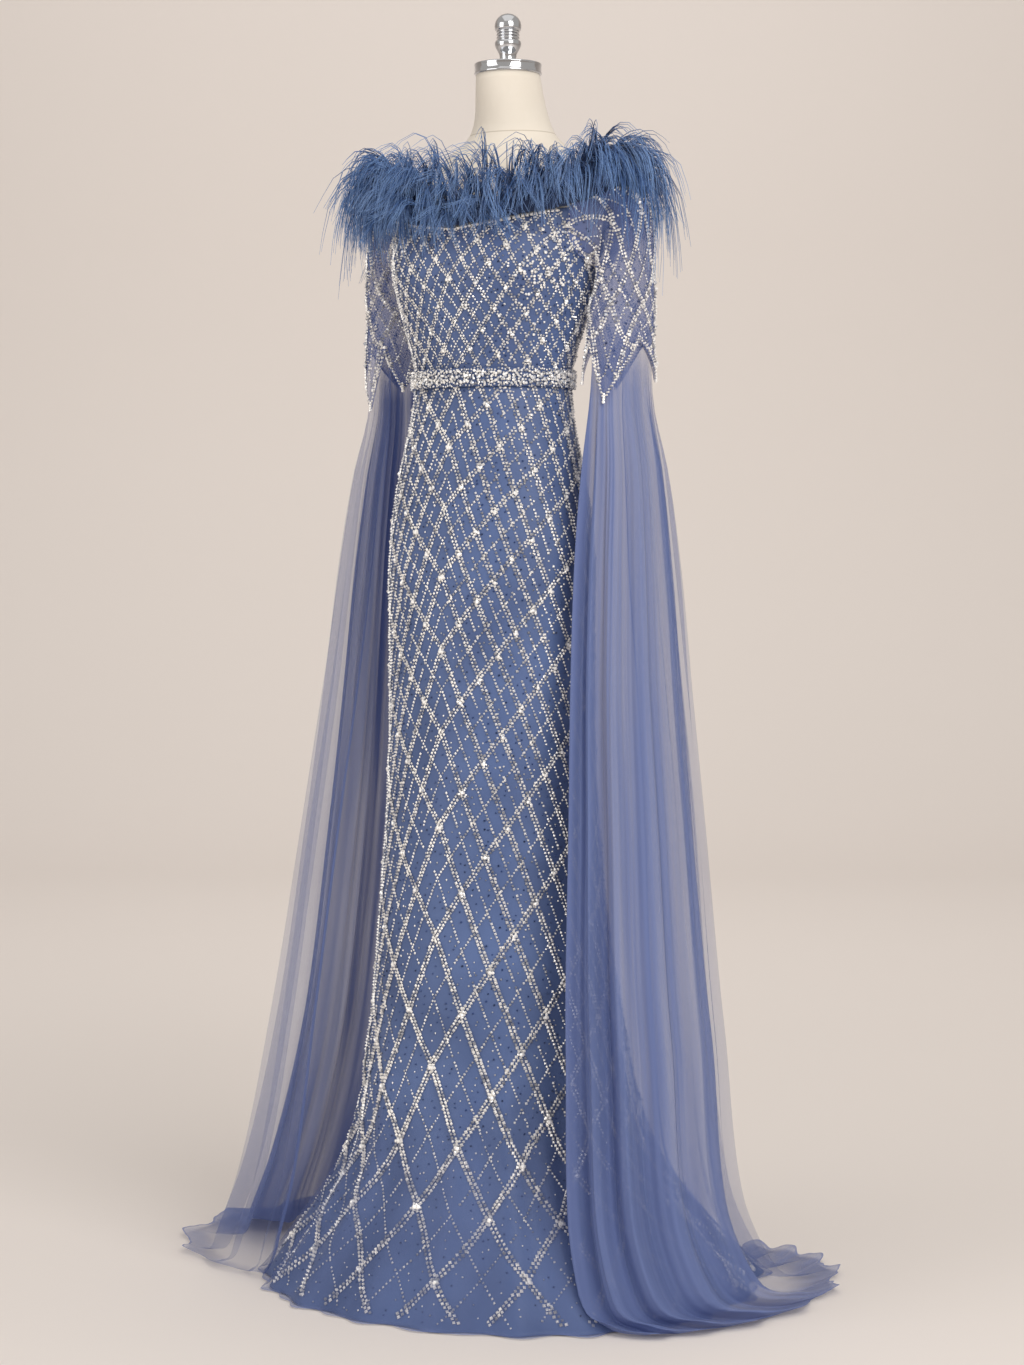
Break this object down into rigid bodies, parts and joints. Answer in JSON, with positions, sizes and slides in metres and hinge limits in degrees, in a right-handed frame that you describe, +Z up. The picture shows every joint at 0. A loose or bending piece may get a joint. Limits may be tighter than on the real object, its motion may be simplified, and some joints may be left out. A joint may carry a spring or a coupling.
{
  "type": "off-shoulder gown on limbless dress form",
  "caption": "Column gown with feather collar, short pointed-hem sleeves and long tulle cape panels to the floor, worn by a limbless dress form on a round base.",
  "frame": {"origin": "centre of the underside of the stand's base, on the axis of the pole, neck and finial", "axes": "+Z up, -Y to the front of the gown, +X to the wearer's left"},
  "size_m": [0.9835, 0.6719, 1.6871],
  "materials": {
    "gown_satin": "blue satin under beaded tulle",
    "cape_tulle": "sheer lavender blue tulle",
    "belt_beads": "silver lined bead crust",
    "collar_feather": "soft plume",
    "form_canvas": "smooth cream cover",
    "form_chrome": "polished",
    "stand_steel": "satin"
  },
  "bodies": {
    "root": {"form_torso": "form_canvas", "form_cap": "form_chrome", "form_finial": "form_chrome", "form_pole": "stand_steel", "form_base": "stand_steel", "bodice_front": "gown_satin", "bodice_back_left": "gown_satin", "bodice_back_right": "gown_satin", "skirt_front": "gown_satin", "skirt_back": "gown_satin", "belt": "belt_beads", "sleeve_left": "cape_tulle", "sleeve_right": "cape_tulle", "cape_left": "cape_tulle", "cape_right": "cape_tulle", "feather_collar": "collar_feather"}
  },
  "joints": []
}
